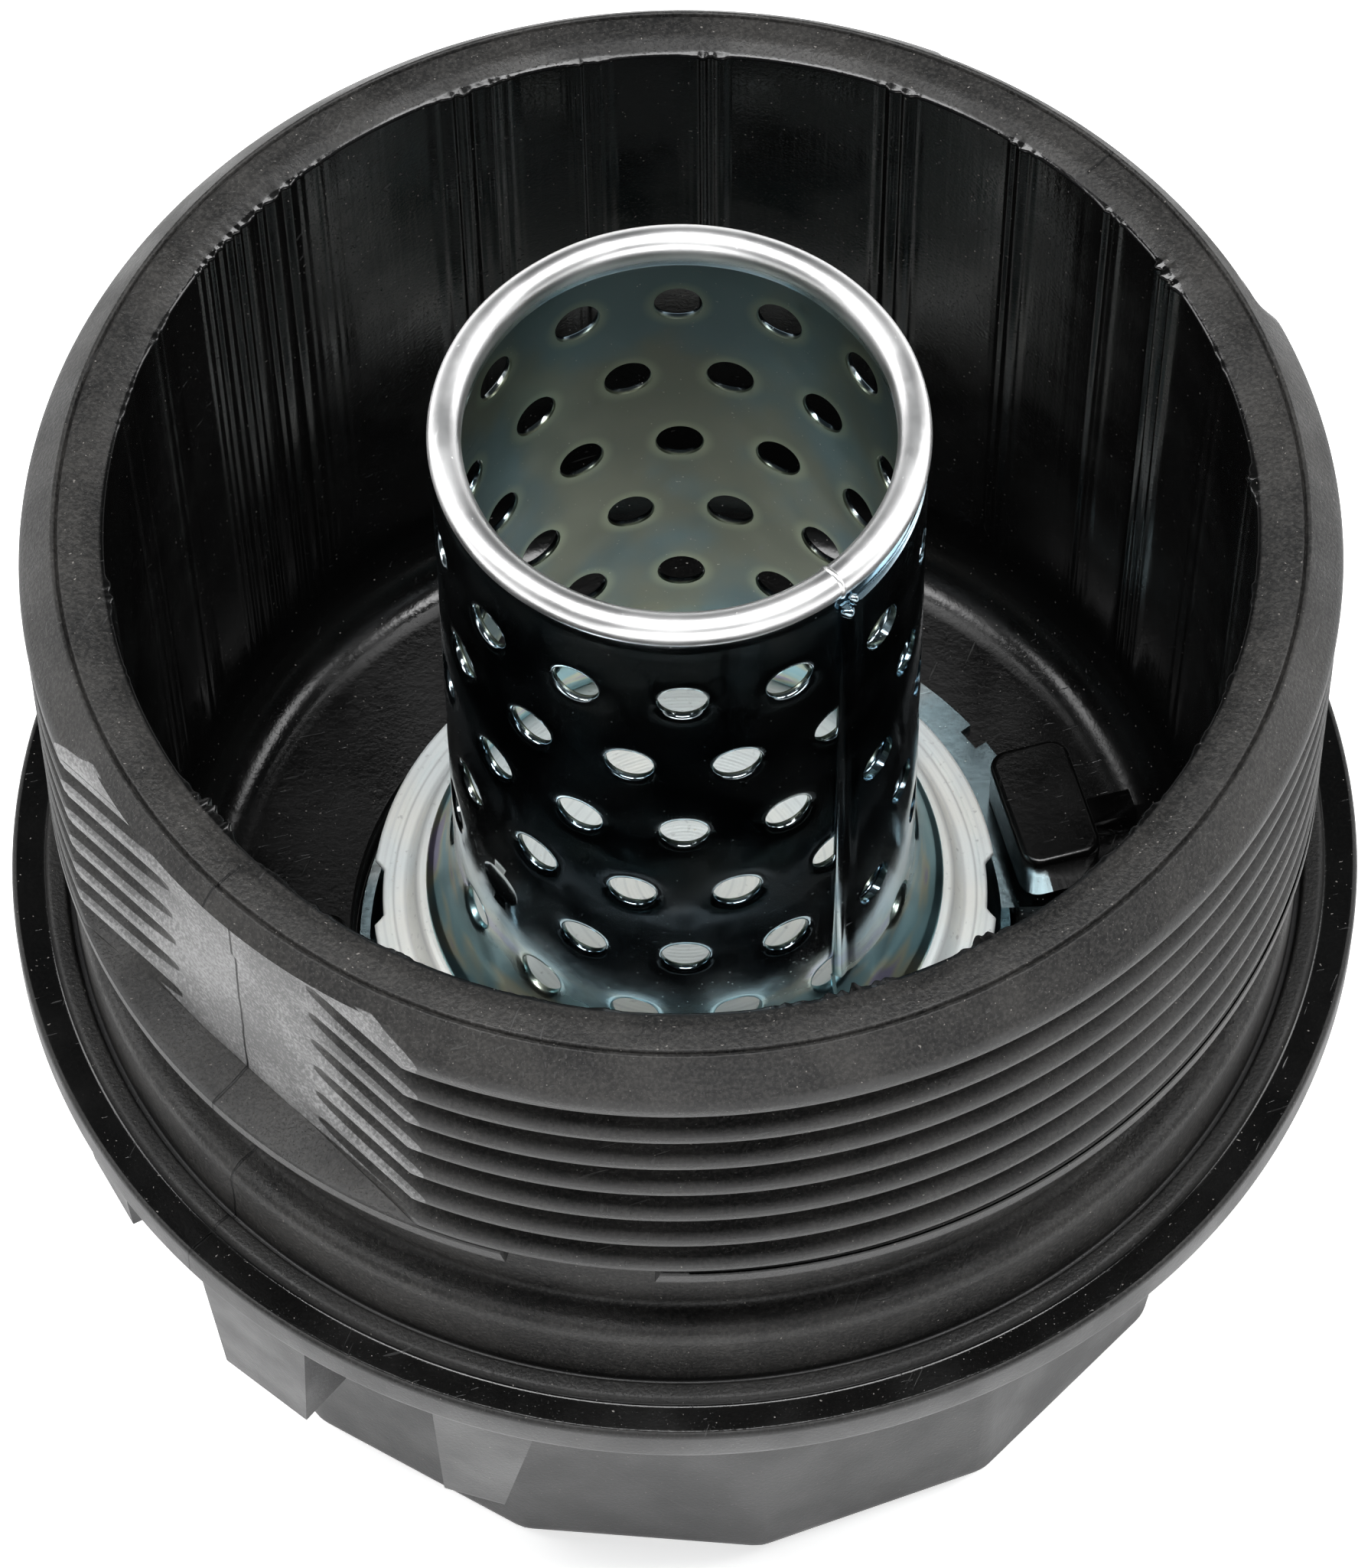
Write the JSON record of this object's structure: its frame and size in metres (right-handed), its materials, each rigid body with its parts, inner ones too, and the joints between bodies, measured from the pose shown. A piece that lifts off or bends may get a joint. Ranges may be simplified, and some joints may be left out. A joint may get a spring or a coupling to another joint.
{
  "type": "oil filter housing cap",
  "caption": "Screw-on cap of a cartridge oil filter housing with a spring-loaded perforated centre tube and a drain plug.",
  "frame": {"origin": "centre of the wrench end's lowest plane, on the thread axis", "axes": "+Z along the thread axis, out of the mouth; the front is -Y"},
  "size_m": [0.0804, 0.0804, 0.0743],
  "materials": {
    "cap_plastic": "matt, fine grain",
    "tube_zinc": "bright zinc plating",
    "plate_zinc": "bright zinc plating",
    "cup_zinc": "bright zinc plating",
    "spring_steel": "drawn wire",
    "plug_plastic": "satin",
    "seal_rubber": "soft",
    "valve_plastic": "satin"
  },
  "bodies": {
    "cap": {"housing_cap": "cap_plastic", "spring_cup": "cup_zinc", "main_spring": "spring_steel", "valve_cage": "valve_plastic", "valve_spring": "spring_steel"},
    "tube": {"center_tube": "tube_zinc", "seat_plate": "plate_zinc"},
    "plug_ring": {"drain_plug_seal": "seal_rubber"},
    "plug": {"drain_plug": "plug_plastic"},
    "valve": {"drain_valve": "valve_plastic", "valve_seal": "seal_rubber"}
  },
  "joints": [
    {"name": "tube_press", "type": "slide", "parent": "cap", "child": "tube", "axis": [0, 0, 1], "range_m": [-0.005, 0], "stiffness_N_per_m": 2000, "springref_m": 0.01, "deforming": ["main_spring"]},
    {"name": "plug_lift", "type": "slide", "parent": "cap", "child": "plug_ring", "axis": [0, 0, 1], "range_m": [-0.009, 0]},
    {"name": "plug_turn", "type": "hinge", "parent": "plug_ring", "child": "plug", "pos_m": [0, 0, 0], "axis": [0, 0, 1], "range_deg": [-2160, 0]},
    {"name": "valve_lift", "type": "slide", "parent": "cap", "child": "valve", "axis": [0, 0, 1], "range_m": [0, 0.002], "stiffness_N_per_m": 300, "springref_m": -0.004, "deforming": ["valve_spring"]}
  ],
  "couplings": [
    {"joint": "plug_lift", "follows": "plug_turn", "m_per_rad": 0.00023873}
  ]
}
